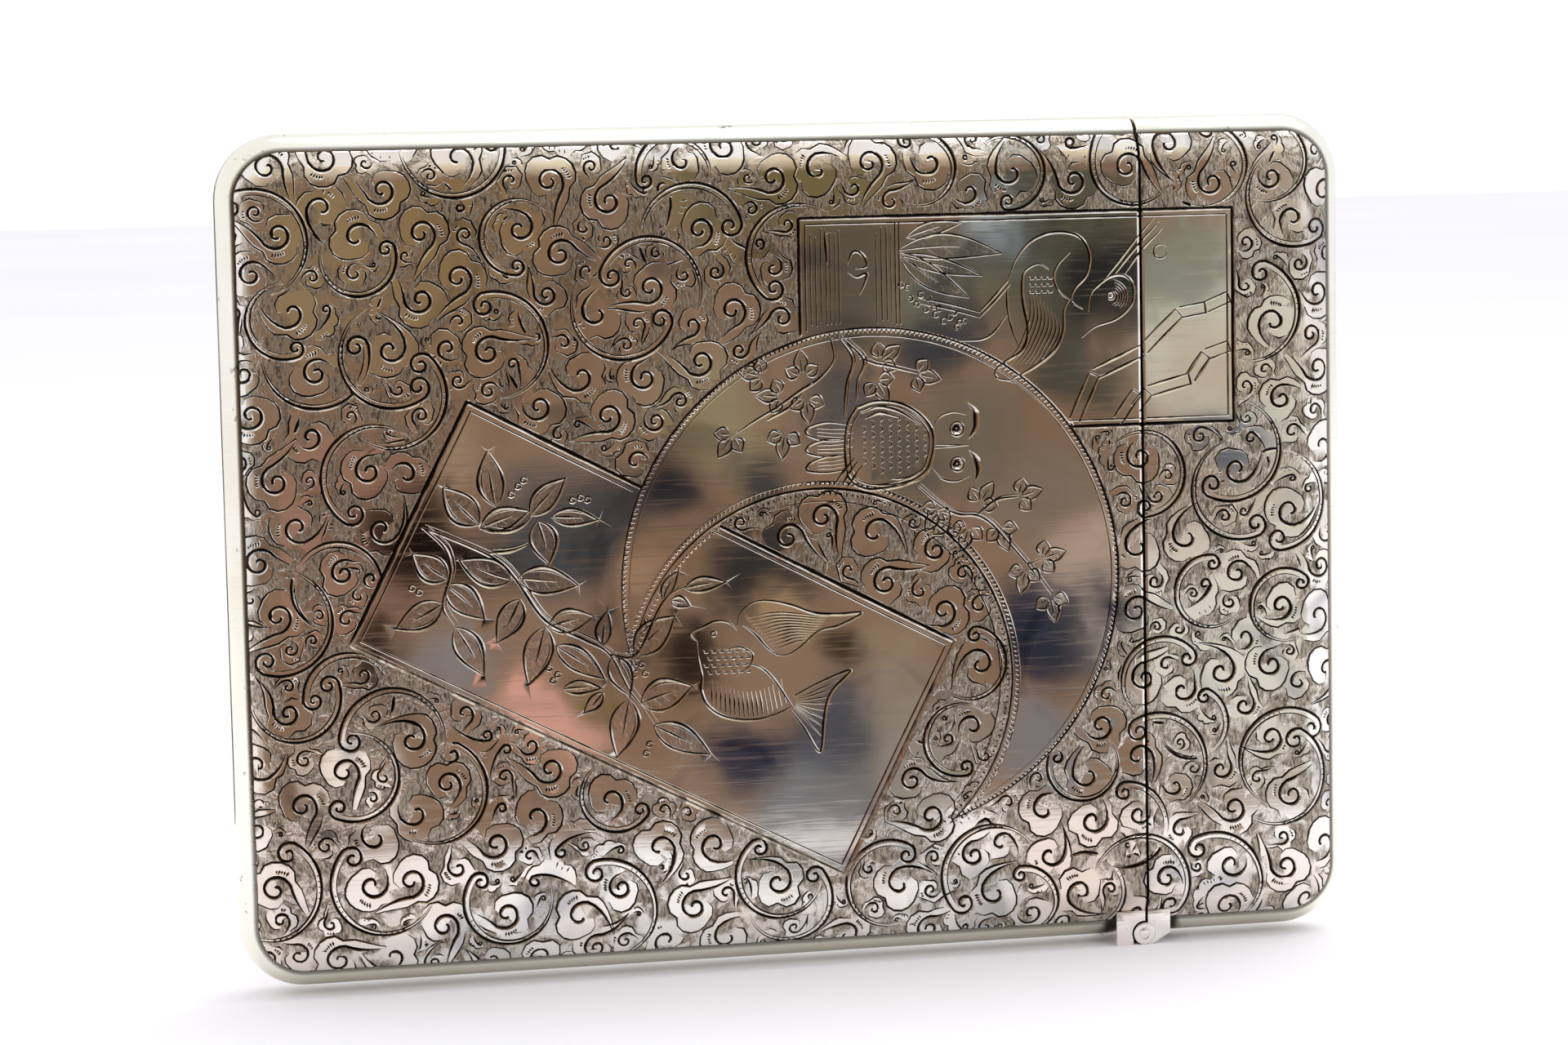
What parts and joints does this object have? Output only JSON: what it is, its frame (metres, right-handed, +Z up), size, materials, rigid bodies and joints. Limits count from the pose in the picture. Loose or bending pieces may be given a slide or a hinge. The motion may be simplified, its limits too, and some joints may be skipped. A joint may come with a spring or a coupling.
{
  "type": "silver card case",
  "caption": "Slim rounded silver card case standing on its long edge, with engraved faces, a plain bulging rim, an inner collar and a hinged end lid.",
  "frame": {"origin": "middle of the resting plane under the case, level with the foot of the hinge", "axes": "+X along the case toward the hinged lid, +Z up from the long edge that it stands on, front engraved face toward -Y"},
  "size_m": [0.1, 0.0074, 0.0742],
  "materials": {
    "engraved_silver": "engraved silver, burnished leaves on matted ground, darkened lines",
    "polished_silver": "plain polished silver with fine handling scratches",
    "collar_silver": "satin silver with a pale gilt wash",
    "hinge_silver": "worn satin silver, dark in the joints"
  },
  "bodies": {
    "body": {"body_front_plate": "engraved_silver", "body_back_plate": "engraved_silver", "body_rim": "polished_silver", "body_collar": "collar_silver", "body_hinge_bearer": "hinge_silver", "body_knuckle": "hinge_silver"},
    "lid": {"lid_front_plate": "engraved_silver", "lid_back_plate": "engraved_silver", "lid_rim": "polished_silver", "lid_hinge_bearer": "hinge_silver", "lid_front_knuckle": "hinge_silver", "lid_rear_knuckle": "hinge_silver", "hinge_pin": "hinge_silver"}
  },
  "joints": [
    {"name": "lid_hinge", "type": "hinge", "parent": "body", "child": "lid", "pos_m": [0.03068, 0, 0.001], "axis": [0, 1, 0], "range_deg": [0, 90]}
  ]
}
